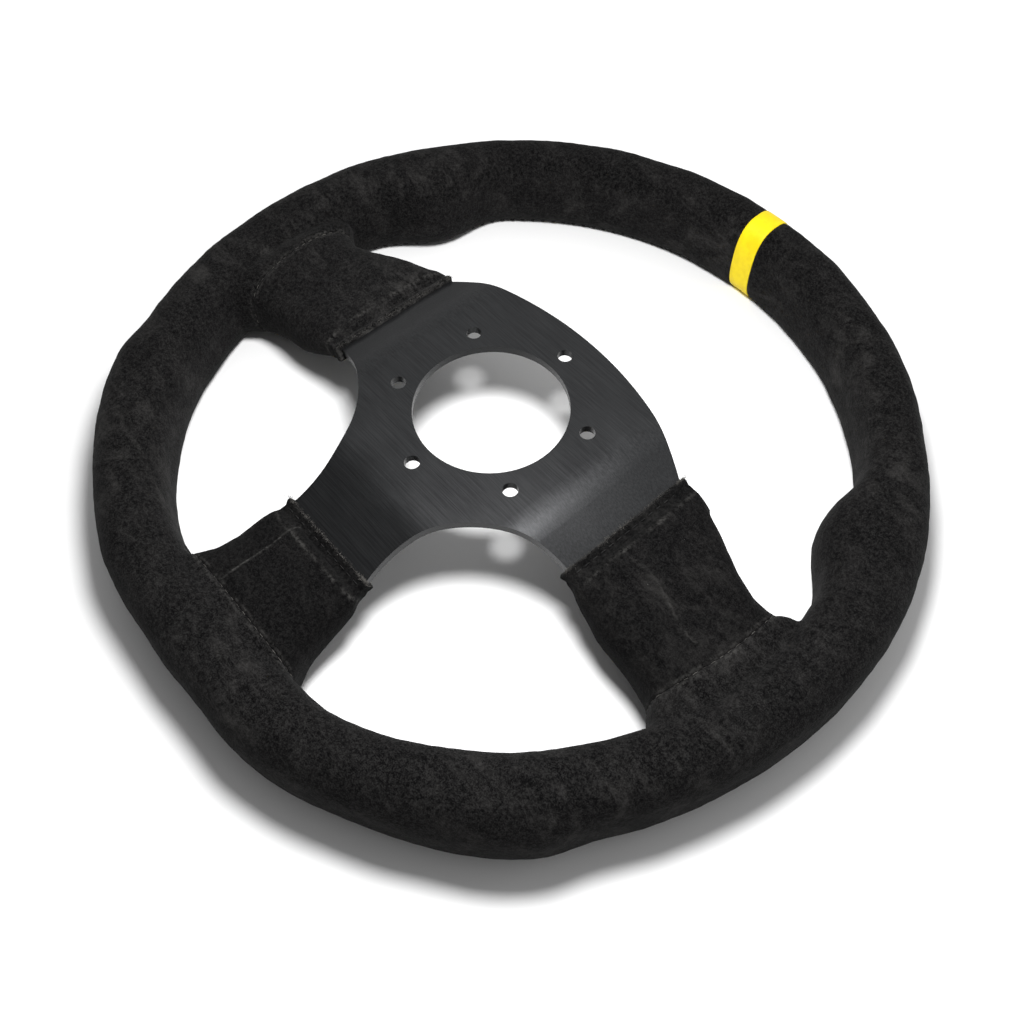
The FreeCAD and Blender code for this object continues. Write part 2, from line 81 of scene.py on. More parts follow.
# spokes and sleeves
PLATE_THICK = 3.0
EDGE_BREAK = 0.25
SIDE_BEND_X = 45.0
SIDE_SLOPE = math.radians(22.0)
SIDE_HEM_X = 62.5
SIDE_TOP_Y = 30.8
SIDE_LOW_Y = -20.8
LOWER_BEND_Y = 48.0
LOWER_SLOPE = math.radians(25.0)
LOWER_HEM_Y = 71.7
LOWER_HALF_W = 20.7
ROOT_POWER = 3.2
SEAM_R = 116.5
SIDE_SEAM_HALF = 45.0
LOWER_SEAM_Y = -107.9
LOWER_SEAM_HALF = 33.0
SEAMS_BEYOND = 60.0
HEM_GROW = 1.35
HEM_HALF_RUN = 7.0
HEM_ROUNDING = 0.5
HEM_LINE = 2.6
SIDE_HEM_DROP = 0.6
STRIPE_HALF = 4.8
STRIPE_FROM_Y = 120.0

# thickness of each skin, and how far the foam lies under the outside
RIM_SUEDE = 1.1
SLEEVE_SUEDE = 1.0
STRIPE_THICK = 0.7
FOAM_UNDER = 1.35

# blends between shapes, and how the spoke roots sink into the rim
SIDE_FILLET = 2.0
LOWER_FILLET = 2.0
HEM_BLEND = 1.6
FLOOR_BLEND = 0.3
ROOT_BLEND = 4.0
ROOT_SINK = 3.0
ROOT_SINK_RUN = 12.0
ROOT_END = 14.0
SIDE_SINK_AT = 117.0
LOWER_SINK_AT = 108.0

# spoke roots: distance from the wheel axis, low edge, high edge, underside, top
SIDE_ROOT = np.array((
    (67.0, -23.2, 33.0, -16.6, -5.0),
    (72.0, -24.8, 32.8, -20.5, -5.0),
    (84.0, -26.6, 29.8, -28.5, -6.0),
    (98.0, -27.4, 23.4, -33.0, -6.8),
    (108.0, -29.6, 20.0, -35.5, -6.6),
    (115.0, -35.5, 20.8, -37.0, -6.0),
    (121.0, -42.0, 26.0, -37.4, -5.8),
    (131.0, -46.0, 30.0, -36.8, -6.0),
))
LOWER_ROOT = np.array((
    (76.5, -23.6, 23.6, -20.0, -8.6),
    (81.0, -24.2, 24.2, -24.5, -8.0),
    (92.0, -24.6, 24.6, -31.0, -8.0),
    (101.0, -25.8, 25.8, -34.5, -7.6),
    (107.5, -29.5, 29.5, -36.5, -7.0),
    (113.0, -35.0, 35.0, -37.2, -6.6),
    (122.0, -36.0, 36.0, -36.8, -6.4),
))

STATION_STEP = 0.5
STATION_MARGIN = 12.0
STATION_WINDOW = 15

# boxes that hold each surface while it is found, and the size of their cells
RIM_BOX = ((-152, -140, -42), (152, 160, 0))
STRIPE_BOX = ((-9, 120, -42), (9, 160, 0))
LOWER_BOX = ((-LOWER_SEAM_HALF, -118, -42), (LOWER_SEAM_HALF, -66, 0))
SIDE_BOX_NEAR = 58
SIDE_BOX_FAR = 126
SIDE_BOX_HALF = 46
BOX_BOTTOM = -42
LOWER_CUT_FROM = -125
LOWER_CUT_TO = -64
STRIPE_CUT_BACK = 2
STRIPE_CUT_REACH = 12
RIM_CELL = 1.1
SLEEVE_CELL = 0.6
FOAM_CELL = 2.0

# cloth detail: height and length of each size of wave, and its seed
CLOTH_WAVES = ((0.3, 38, 3), (0.16, 15, 4), (0.07, 5.5, 5))
CALM_OVER_FLOOR = 6.0
# grooves: depth and width
SEAM_GROOVE = (0.4, 0.6)
SEAM_DIP = (0.2, 3.0)
STRIPE_GROOVE = (0.3, 0.45)
HEM_GROOVE = (0.3, 0.7)
HEM_SLACK = 0.25
HEM_SLACK_BEFORE = 2.4
FAR_AWAY = 99.0

# where the hems lie: distance from the wheel axis, and reach to either side of a middle
SIDE_HEM_FROM = 58
SIDE_HEM_TO = 72
SIDE_HEM_MID_Y = 5
SIDE_HEM_REACH = 32
LOWER_HEM_FROM = 66
LOWER_HEM_TO = 84
LOWER_HEM_REACH = 30

# closing laps on the upper face: place, height, fade, and where along the spoke they show
UPPER_FACE_Z = -15
LAPS_END_Y = -112
LAP_SHARPNESS = 0.22
LOWER_LAP_X = -10.5
LOWER_LAP_SLANT = 0.05
LOWER_LAP_HINGE = 79
LOWER_LAP_HEIGHT = 0.85
LOWER_LAP_FADE = 10
LOWER_LAP_SPAN = (73, 77, 104, 107.5)
LOWER_LAP_REACH = 26
RIGHT_LAP_Y = -3.0
RIGHT_LAP_DROP = 5.0
RIGHT_LAP_HEIGHT = 0.5
RIGHT_LAP_FADE = 6
RIGHT_LAP_SPAN = (66, 71, 108, 115)
# the round fold in the left sleeve
LEFT_FOLD_X = -104
LEFT_FOLD_Y = 2
LEFT_FOLD_R = 14
LEFT_FOLD_HEIGHT = 0.5
LEFT_FOLD_WIDTH = 1.4
LEFT_FOLD_END_X = -66

# how pale the nap is rubbed, from 0 to 1; for the right lap, how bright its painted highlight is
EDGE_WEAR = 0.5
FOLD_WEAR = 0.45
RIGHT_LAP_HIGHLIGHT = 0.25
SEAM_WEAR = 0.4

# stitches
SEAM_PITCH = 3.3
SEAM_STITCH = 2.0
SEAM_STITCH_SPREAD = 0.35
SEAM_STITCH_SKEW = 0.06
SEAM_STITCH_RISE = 0.15
SEAM_THREAD_R = 0.11
SEAM_MISSING = 0.18
STITCH_DIVE = 0.25
HEM_PITCH = 3.6
HEM_STITCH = 2.4
HEM_STITCH_SINK = 0.18
HEM_STITCH_RISE = 0.1
HEM_THREAD_R = 0.14
HEM_STITCH_MARGIN = 0.5
COVER_SEAM_AT = 240.0
COVER_STITCHES = 178
COVER_THREAD_R = 0.24
COVER_STITCH_RISE = np.array([-0.2, 0.18, 0.24, 0.18, -0.2])
SIDE_ROOT_FROM = -24
SIDE_ROOT_TO = 12
LOWER_ROOT_TO = -72
FRAY_COUNT = 650
FRAY_INSET = 0.6
FRAY_DEPTH = 0.15

# floor, light and camera, in metres
FLOOR_HALF = 6.0
GLOW_FROM = 0.15
GLOW_TO = 0.30
GLOW = 0.7
SOFTBOX_AT = (0.045, -0.012, 0.26)
SOFTBOX_SIZE = 0.08
SOFTBOX_POWER = 1.3
WORLD_NEAR = 0.13
WORLD_FAR = 0.75
CAMERA_AT = (0.16822, -0.13136, 0.27576)
CAMERA_AIM = (0.03721, -0.02272, 0.0)
CAMERA_ROLL = math.radians(-1.6)
CAMERA_LENS = 34.96
SENSOR_WIDTH = 36.0


# ---------------------------------------------------------------- shape functions, in mm

def ease(value, low, high):
    t = np.clip((value - low) / (high - low), 0.0, 1.0)
    return t * t * (3 - 2 * t)


def between(value, span):
    """1 inside a span and 0 outside it, easing in and out at its ends."""
    start, full, fade, end = span
    return ease(value, start, full) * (1 - ease(value, fade, end))


def bump(angle, swelling):
    centre, height, reach_up, reach_down = swelling
    away = angle - centre
    reach = np.where(away > 0, reach_up, reach_down)
    return height * np.cos(np.pi / 2 * np.clip(away / reach, -1, 1)) ** 2


def with_flat(radius, flat, angle):
    """Radius of the rim where its round line runs over into the straight flat."""
    drop = np.maximum(-np.sin(np.radians(angle)), 0.5)
    chord = flat / drop
    return chord * (1 + (chord / radius) ** FLAT_SHARPNESS) ** (-1 / FLAT_SHARPNESS)


# angles above three or nine o'clock at which the rim's radii are worked out
FOLDED = np.arange(-90.0, 90.5, 0.5)


def rim_profiles():
    """Outer and inner rim radius for every folded angle in FOLDED."""
    a = FOLDED
    outer = RIM_OUTER_R + bump(a, SHOULDER) + bump(a, PALM_REST)
    inner = RIM_INNER_LOW_R + (RIM_INNER_TOP_R - RIM_INNER_LOW_R) * ease(a, WIDEN_FROM, WIDEN_TO)
    inner = inner - bump(a, THUMB_REST)
    low = a < FLAT_FROM
    outer = np.where(low, with_flat(outer, FLAT_OUTER, a), outer)
    inner = np.where(low, with_flat(inner, FLAT_INNER, a), inner)
    return outer, inner


RIM_OUTER, RIM_INNER = rim_profiles()


def smooth_stations(table):
    """Station table turned into evenly spaced columns without corners."""
    at = np.arange(table[0, 0] - STATION_MARGIN, table[-1, 0] + STATION_MARGIN, STATION_STEP)
    kernel = np.hanning(STATION_WINDOW)
    kernel /= kernel.sum()
    columns = []
    for i in range(1, table.shape[1]):
        row = np.interp(at, table[:, 0], table[:, i])
        row = np.convolve(np.pad(row, STATION_WINDOW // 2, mode="edge"), kernel, mode="valid")
        columns.append(row)
    return at, columns


SIDE_COLUMNS = smooth_stations(SIDE_ROOT)
LOWER_COLUMNS = smooth_stations(LOWER_ROOT)


def oval_distance(u, v, half_u, half_v, power):
    """Nearly the distance to a superellipse with these half widths."""
    a = np.abs(u) / half_u
    b = np.abs(v) / half_v
    size = np.maximum((a ** power + b ** power) ** (1 / power), 0.25)
    slope_u = (a / size) ** (power - 1) / half_u
    slope_v = (b / size) ** (power - 1) / half_v
    return (size - 1) / np.sqrt(slope_u ** 2 + slope_v ** 2 + 1e-9)


def polar(x, y):
    """Radius about the rim's centre, and angle above three or nine o'clock."""
    up = y - RIM_CENTRE_Y
    radius = np.hypot(x, up)
    angle = np.degrees(np.arctan2(up, np.abs(x)))
    return radius, angle


def rim_distance(x, y, z):
    radius, angle = polar(x, y)
    outer = np.interp(angle, FOLDED, RIM_OUTER)
    inner = np.interp(angle, FOLDED, RIM_INNER)
    across = radius - (outer + inner) / 2
    return oval_distance(across, z - RIM_MID_Z, (outer - inner) / 2, RIM_HALF_H, SECTION_POWER)


def soft_max(a, b, k):
    """Larger of two distances, rounded where they cross."""
    h = np.clip(0.5 - 0.5 * (b - a) / k, 0, 1)
    return b * (1 - h) + a * h + k * h * (1 - h)


def soft_min(a, b, k):
    return -soft_max(-a, -b, k)


def root_distance(along, side, z, columns, start, sink_at):
    """Distance to the foam root of a spoke that runs along one axis, shrinking in the rim."""
    at, (low, high, under, top) = columns
    low = np.interp(along, at, low)
    high = np.interp(along, at, high)
    under = np.interp(along, at, under)
    top = np.interp(along, at, top)
    d = oval_distance(side - (low + high) / 2, z - (under + top) / 2,
                      (high - low) / 2, (top - under) / 2, ROOT_POWER)
    d = soft_max(d, start - along, ROOT_BLEND)
    d = d + ROOT_SINK * ease(along, sink_at, sink_at + ROOT_SINK_RUN)
    return soft_max(d, along - sink_at - ROOT_END, ROOT_BLEND)


def slope_frame(along, z, bend, slope):
    """Distance down the slope and height over the plate's middle on a spoke's straight part."""
    down = along - bend
    cos, sin = math.cos(slope), math.sin(slope)
    travel = down * cos - z * sin
    height = down * sin + z * cos + PLATE_THICK / 2
    return travel, height


def hem_distance(along, side, z, bend, slope, edge, low, high):
    """Distance to the flat suede hem that lies round the plate from its cut edge on."""
    travel, height = slope_frame(along, z, bend, slope)
    start = (edge - bend) / math.cos(slope)
    run = np.abs(travel - start - HEM_HALF_RUN) - HEM_HALF_RUN
    wide = np.abs(side - (low + high) / 2) - (high - low) / 2 - HEM_GROW
    thick = np.abs(height) - PLATE_THICK / 2 - HEM_GROW
    a, b, c = run + HEM_ROUNDING, wide + HEM_ROUNDING, thick + HEM_ROUNDING
    outside = np.sqrt(np.maximum(a, 0) ** 2 + np.maximum(b, 0) ** 2 + np.maximum(c, 0) ** 2)
    return outside + np.minimum(np.maximum(np.maximum(a, b), c), 0) - HEM_ROUNDING


def foam_distance(x, y, z):
    """Rim and spoke roots as one moulded body, with fillets where they meet."""
    d = rim_distance(x, y, z)
    side = root_distance(np.abs(x), y, z, SIDE_COLUMNS, SIDE_ROOT[0, 0], SIDE_SINK_AT)
    lower = root_distance(-y, x, z, LOWER_COLUMNS, LOWER_ROOT[0, 0], LOWER_SINK_AT)
    d = soft_min(d, side, SIDE_FILLET)
    return soft_min(d, lower, LOWER_FILLET)


def skin_distance(x, y, z):
    """Outside of the suede: the moulded body, plus the hems lying on the plate."""
    d = foam_distance(x, y, z)
    side = hem_distance(np.abs(x), y, z, SIDE_BEND_X, SIDE_SLOPE, SIDE_HEM_X,
                        SIDE_LOW_Y - SIDE_HEM_DROP, SIDE_TOP_Y)
    lower = hem_distance(-y, x, z, LOWER_BEND_Y, LOWER_SLOPE, LOWER_HEM_Y,
                         -LOWER_HALF_W, LOWER_HALF_W)
    d = soft_min(d, side, HEM_BLEND)
    d = soft_min(d, lower, HEM_BLEND)
    return soft_max(d, FLOOR_Z - z, FLOOR_BLEND)


def gradient(distance, p, step=0.08):
    """Outward direction at each point."""
    out = np.empty_like(p)
    for i in range(3):
        a, b = p.copy(), p.copy()
        a[:, i] += step
        b[:, i] -= step
        out[:, i] = distance(*a.T) - distance(*b.T)
    size = np.linalg.norm(out, axis=1, keepdims=True)
    return out / np.maximum(size, 1e-9)


def settle(distance, p, level=0.0, rounds=3):
    """Move points onto the surface where the distance equals a level."""
    for _ in range(rounds):
        p = p - gradient(distance, p) * (distance(*p.T) - level)[:, None]
    return p


def surface(distance, low, high, cell, level=0.0):
    """Points and four-sided faces of a distance function's surface inside a box."""
    low = np.array(low, float)
    steps = [int(math.ceil((b - a) / cell)) + 1 for a, b in zip(low, high)]
    axes = [low[i] + cell * np.arange(steps[i]) for i in range(3)]
    x, y = axes[0][:, None, None], axes[1][None, :, None]
    z = axes[2][None, None, :]
    values = np.empty(steps, np.float32)
    for i in range(0, steps[0], 32):
        block = distance(x[i:i + 32], y, z)
        values[i:i + 32] = np.clip((block - level) / cell, -4, 4)
    grid = openvdb.FloatGrid(4.0)
    grid.copyFromArray(values)
    points, quads = grid.convertToQuads(0.0)
    points = points.astype(float) * cell + low
    return settle(distance, points, level), quads


# ---------------------------------------------------------------- meshes

def new_mesh(name, points, faces):
    mesh = bpy.data.meshes.new(name)
    points = np.asarray(points, float) * MM
    faces = np.asarray(faces)
    count, sides = faces.shape
    mesh.vertices.add(len(points))
    mesh.vertices.foreach_set("co", points.ravel())
    mesh.loops.add(count * sides)
    mesh.loops.foreach_set("vertex_index", faces.ravel().astype(np.int32))
    mesh.polygons.add(count)
    mesh.polygons.foreach_set("loop_start", np.arange(0, count * sides, sides, dtype=np.int32))
    mesh.update(calc_edges=True)
    mesh.validate()
    return mesh


def new_piece(name, mesh, material, replaced=()):
    piece = bpy.data.objects.new(name, mesh)
    SCENE.collection.objects.link(piece)
    mesh.materials.clear()
    mesh.materials.append(material)
    mesh.shade_smooth()
    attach(piece, "root")
    if replaced:
        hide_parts(*replaced)
    return piece


def read_points(mesh):
    out = np.empty(len(mesh.vertices) * 3)
    mesh.vertices.foreach_get("co", out)
    return out.reshape(-1, 3) / MM


def write_points(mesh, points):
    mesh.vertices.foreach_set("co", (np.asarray(points) * MM).ravel())
    mesh.update()


def side_warp(co):
    """Unroll the side seam: distance from the rim centre becomes the first coordinate."""
    x, y = co.x / MM, co.y / MM - RIM_CENTRE_Y
    return Vector((math.hypot(x, y), math.atan2(y, abs(x)) * SEAM_R, co.z / MM)) * MM


def side_unwarp(co, sign):
    radius, angle = co.x / MM, co.y / MM / SEAM_R
    x = sign * radius * math.cos(angle)
    return Vector((x, radius * math.sin(angle) + RIM_CENTRE_Y, co.z / MM)) * MM


def cut(bm, chosen, place, normal, keep_front):
    """Cut the chosen vertices' faces with a plane and drop what is on one side."""
    inside = set(chosen)
    edges = [e for e in bm.edges if e.verts[0] in inside and e.verts[1] in inside]
    faces = [f for f in bm.faces if all(v in inside for v in f.verts)]
    return bmesh.ops.bisect_plane(
        bm, geom=chosen + edges + faces, dist=0.02 * MM, plane_co=place, plane_no=normal,
        clear_inner=keep_front, clear_outer=not keep_front)


def cut_side(bm, sign, keep_rim):
    """Cut at a side sleeve's seam and keep either the rim's side or the sleeve's."""
    near = [v for v in bm.verts if sign * v.co.x > SIDE_BOX_NEAR * MM
            and abs(v.co.y) < SIDE_BOX_HALF * MM]
    for v in near:
        v.co = side_warp(v.co)
    made = cut(bm, near, (SEAM_R * MM, 0, 0), (1, 0, 0), keep_rim)
    kept = {g for g in made["geom"] if isinstance(g, bmesh.types.BMVert)}
    kept |= {g for g in made["geom_cut"] if isinstance(g, bmesh.types.BMVert)}
    for v in kept:
        v.co = side_unwarp(v.co, sign)


def cut_lower(bm, keep_rim):
    """Cut at the bottom sleeve's seam and keep either the rim's side or the sleeve's."""
    near = [v for v in bm.verts if abs(v.co.x) < LOWER_SEAM_HALF * MM
            and LOWER_CUT_FROM * MM < v.co.y < LOWER_CUT_TO * MM]
    cut(bm, near, (0, LOWER_SEAM_Y * MM, 0), (0, -1, 0), keep_rim)


def cut_stripe(bm, keep_rim):
    """Cut on both sides of the stripe and keep either the rim or the stripe."""
    for sign in (-1, 1):
        near = [v for v in bm.verts if sign * v.co.x > -STRIPE_CUT_BACK * MM]
        if keep_rim:
            near = [v for v in near if v.co.y > STRIPE_FROM_Y * MM
                    and sign * v.co.x < STRIPE_CUT_REACH * MM]
        cut(bm, near, (sign * STRIPE_HALF * MM, 0, 0), (sign, 0, 0), keep_rim)


def trimmed(mesh, *cuts):
    """Make each cut in turn and clear away what it leaves loose."""
    bm = bmesh.new()
    bm.from_mesh(mesh)
    for make_cut in cuts:
        make_cut(bm)
    loose = [v for v in bm.verts if not v.link_faces]
    bmesh.ops.delete(bm, geom=loose, context="VERTS")
    bmesh.ops.dissolve_degenerate(bm, dist=0.01 * MM, edges=bm.edges)
    bm.to_mesh(mesh)
    bm.free()
    return mesh


# ---------------------------------------------------------------- cloth detail, in mm

def waves(p, length, seed, count=14):
    """Smooth random field, about -1 to 1, whose features are `length` long."""
    r = np.random.default_rng(seed)
    way = r.normal(size=(count, 3))
    way *= (2 * np.pi / length / np.linalg.norm(way, axis=1) * r.uniform(0.6, 1.5, count))[:, None]
    phase = r.uniform(0, 2 * np.pi, count)
    return np.cos(p @ way.T + phase).sum(axis=1) / math.sqrt(count / 2) / 2


def groove(distance, depth, width):
    return -depth * np.exp(-(distance / width) ** 2)


def side_seam_gap(p):
    radius = np.hypot(p[:, 0], p[:, 1] - RIM_CENTRE_Y)
    inside = (np.abs(p[:, 1]) < SIDE_SEAM_HALF) & (np.abs(p[:, 0]) > SEAMS_BEYOND)
    return np.where(inside, np.abs(radius - SEAM_R), FAR_AWAY)


def lower_seam_gap(p):
    inside = (np.abs(p[:, 0]) < LOWER_SEAM_HALF) & (p[:, 1] < -SEAMS_BEYOND)
    return np.where(inside, np.abs(p[:, 1] - LOWER_SEAM_Y), FAR_AWAY)


def seam_relief(p):
    gap = np.minimum(side_seam_gap(p), lower_seam_gap(p))
    return groove(gap, *SEAM_GROOVE) + groove(gap, *SEAM_DIP)


def stripe_relief(p):
    gap = np.where(p[:, 1] > STRIPE_FROM_Y, np.abs(np.abs(p[:, 0]) - STRIPE_HALF), FAR_AWAY)
    return groove(gap, *STRIPE_GROOVE)


def hem_relief(p):
    """Pressed line of stitching along each hem and a slack edge in front of it."""
    gap = hem_gap(p)
    slack = HEM_SLACK * np.exp(-(gap + HEM_SLACK_BEFORE) ** 2) * (1 + waves(p, 9, 31))
    return groove(gap, *HEM_GROOVE) + slack


def lap_lines(p):
    """Signed distance past each sleeve's closing lap, and how strongly it shows there."""
    x, y, z = p.T
    upper_face = (z > UPPER_FACE_Z) & (y > LAPS_END_Y)
    lower = x - (LOWER_LAP_X - LOWER_LAP_SLANT * (y + LOWER_LAP_HINGE) + 0.3 * np.sin(y / 5))
    lower_on = between(-y, LOWER_LAP_SPAN) * (np.abs(x) < LOWER_LAP_REACH)
    right = (RIGHT_LAP_Y - RIGHT_LAP_DROP * ease(x, 70, 112) + 1.3 * np.sin(x / 6)) - y
    right_on = between(x, RIGHT_LAP_SPAN)
    return (lower, lower_on * upper_face), (right, right_on * upper_face)


def lap_edge(distance, height, fade):
    """A sharp rise at a lap's edge that fades out behind it."""
    rise = 1 / (1 + np.exp(np.clip(-distance / LAP_SHARPNESS, -30, 30)))
    return height * rise * np.exp(-np.maximum(distance, 0) / fade)


def laps(p):
    """Edge of the lap where each sleeve's suede closes over itself, and the left sleeve's fold."""
    x, y, z = p.T
    (lower, lower_on), (right, right_on) = lap_lines(p)
    ring = np.hypot(x - LEFT_FOLD_X, y - LEFT_FOLD_Y)
    fold = np.exp(-((ring - LEFT_FOLD_R - y / 5) / LEFT_FOLD_WIDTH) ** 2)
    left = LEFT_FOLD_HEIGHT * fold * ease(-y + LEFT_FOLD_R, 0, 10)
    left = np.where((z > UPPER_FACE_Z) & (x < LEFT_FOLD_END_X), left, 0)
    return (lap_edge(lower, LOWER_LAP_HEIGHT, LOWER_LAP_FADE) * lower_on
            + lap_edge(right, RIGHT_LAP_HEIGHT, RIGHT_LAP_FADE) * right_on + left)


def hem_gap(p):
    """Distance past each hem's line of stitching, running towards the rim."""
    x, y, z = p.T
    side_travel, _ = slope_frame(np.abs(x), z, SIDE_BEND_X, SIDE_SLOPE)
    side_at = (SIDE_HEM_X - SIDE_BEND_X) / math.cos(SIDE_SLOPE) + HEM_LINE
    lower_travel, _ = slope_frame(-y, z, LOWER_BEND_Y, LOWER_SLOPE)
    lower_at = (LOWER_HEM_Y - LOWER_BEND_Y) / math.cos(LOWER_SLOPE) + HEM_LINE
    on_side = (np.abs(x) > SIDE_HEM_FROM) & (np.abs(x) < SIDE_HEM_TO)
    on_side &= np.abs(y - SIDE_HEM_MID_Y) < SIDE_HEM_REACH
    on_lower = (y < -LOWER_HEM_FROM) & (y > -LOWER_HEM_TO) & (np.abs(x) < LOWER_HEM_REACH)
    gap = np.where(on_lower, lower_travel - lower_at, FAR_AWAY)
    return np.where(on_side, side_travel - side_at, gap)


def wear_and_lap_highlight(p):
    """Where the nap is rubbed pale at cut edges, folds and the two seam edges, and a painted
    highlight along each lap's edge.
    """
    gap = hem_gap(p)
    broken = np.clip(0.55 + 0.8 * waves(p, 5, 41), 0, 1)
    edge = EDGE_WEAR * np.exp(-((gap + HEM_LINE + 0.2) / 0.4) ** 2)
    fold = FOLD_WEAR * np.exp(-((gap - 3.6) / 0.5) ** 2)
    (lower, lower_on), (right, right_on) = lap_lines(p)
    # painted highlight along the raised edge of each lap
    line = np.exp(-(lower / 0.4) ** 2) * lower_on
    line = line + RIGHT_LAP_HIGHLIGHT * np.exp(-(right / 0.5) ** 2) * right_on
    seam_gap = np.minimum(side_seam_gap(p), lower_seam_gap(p))
    seam = SEAM_WEAR * np.exp(-((seam_gap - 0.9) / 0.4) ** 2)
    return np.clip(edge + fold + line + seam, 0, 1) * broken


def relief(p):
    """How far the suede stands out from the plain surface at each point."""
    slow = sum(height * waves(p, length, seed) for height, length, seed in CLOTH_WAVES)
    calm = ease(p[:, 2], FLOOR_Z, FLOOR_Z + CALM_OVER_FLOOR)
    return slow * calm + seam_relief(p) + stripe_relief(p) + laps(p)


def dressed(mesh, detail):
    """Settle a trimmed mesh on the surface again and raise its cloth detail."""
    p = settle(skin_distance, read_points(mesh), rounds=2)
    out = p + gradient(skin_distance, p) * detail(p)[:, None]
    out[:, 2] = np.maximum(out[:, 2], FLOOR_Z)
    write_points(mesh, out)
    # the attribute holds the pale rubbed nap and the painted lap highlight
    pale = mesh.attributes.new("wear_and_lap_highlight", "FLOAT", "POINT")
    pale.data.foreach_set("value", wear_and_lap_highlight(p).astype(np.float32))
    return mesh


def thicken(piece, thickness):
    """Give a skin its thickness, inwards from the outside."""
    mod = piece.modifiers.new("thickness", "SOLIDIFY")
    mod.thickness = thickness * MM
    mod.offset = -1
    mod.use_even_offset = False


# ---------------------------------------------------------------- material helpers

class Mat:
    """Small helper that builds a node material around a Principled shader."""

    def __init__(self, name):
        self.material = bpy.data.materials.new(name)
        self.material.use_nodes = True
        self.tree = self.material.node_tree
        self.shader = self.tree.nodes["Principled BSDF"]
        self.where = self.add("ShaderNodeTexCoord").outputs["Object"]

    def add(self, kind, **settings):
        node = self.tree.nodes.new(kind)
        for name, value in settings.items():
            setattr(node, name, value)
        return node

    def link(self, a, b):
        self.tree.links.new(a, b)

    def put(self, socket, value):
        if isinstance(value, bpy.types.NodeSocket):
            self.link(value, socket)
        else:
            socket.default_value = value

    def fixed(self, **values):
        for name, value in values.items():
            self.shader.inputs[name.replace("_", " ")].default_value = value

    def scaled(self, x, y, z, turn=0.0):
        node = self.add("ShaderNodeMapping")
        node.inputs["Scale"].default_value = (x, y, z)
        node.inputs["Rotation"].default_value = (0, 0, turn)
        self.link(self.where, node.inputs["Vector"])
        return node.outputs["Vector"]

    def noise(self, scale, detail=3.0, rough=0.55, vector=None, distortion=0.0):
        node = self.add("ShaderNodeTexNoise")
        self.link(vector or self.where, node.inputs["Vector"])
        node.inputs["Scale"].default_value = scale
        node.inputs["Detail"].default_value = detail
        node.inputs["Roughness"].default_value = rough
        node.inputs["Distortion"].default_value = distortion
        return node.outputs["Fac"]

    def cells(self, scale):
        node = self.add("ShaderNodeTexVoronoi")
        self.link(self.where, node.inputs["Vector"])
        node.inputs["Scale"].default_value = scale
        return node.outputs["Distance"]

    def math(self, how, a, b=0.0):
        node = self.add("ShaderNodeMath", operation=how)
        self.put(node.inputs[0], a)
        self.put(node.inputs[1], b)
        return node.outputs[0]

    def ramp(self, value, low, high, to_low=0.0, to_high=1.0):
        node = self.add("ShaderNodeMapRange", interpolation_type="SMOOTHSTEP")
        self.link(value, node.inputs["Value"])
        for name, number in (("From Min", low), ("From Max", high),
                             ("To Min", to_low), ("To Max", to_high)):
            node.inputs[name].default_value = number
        return node.outputs["Result"]

    def mix(self, factor, a, b):
        node = self.add("ShaderNodeMix", data_type="RGBA")
        self.put(node.inputs["Factor"], factor)
        for socket, colour in ((node.inputs[6], a), (node.inputs[7], b)):
            if isinstance(colour, tuple):
                socket.default_value = (*colour, 1.0)
            else:
                self.link(colour, socket)
        return node.outputs[2]

    def bump(self, height, distance, strength=1.0, under=None):
        node = self.add("ShaderNodeBump")
        self.link(height, node.inputs["Height"])
        node.inputs["Distance"].default_value = distance
        node.inputs["Strength"].default_value = strength
        if under is not None:
            self.link(under, node.inputs["Normal"])
        return node.outputs["Normal"]

    def colour(self, socket):
        self.link(socket, self.shader.inputs["Base Color"])

    def roughness(self, socket):
        self.link(socket, self.shader.inputs["Roughness"])

    def normal(self, socket):
        self.link(socket, self.shader.inputs["Normal"])


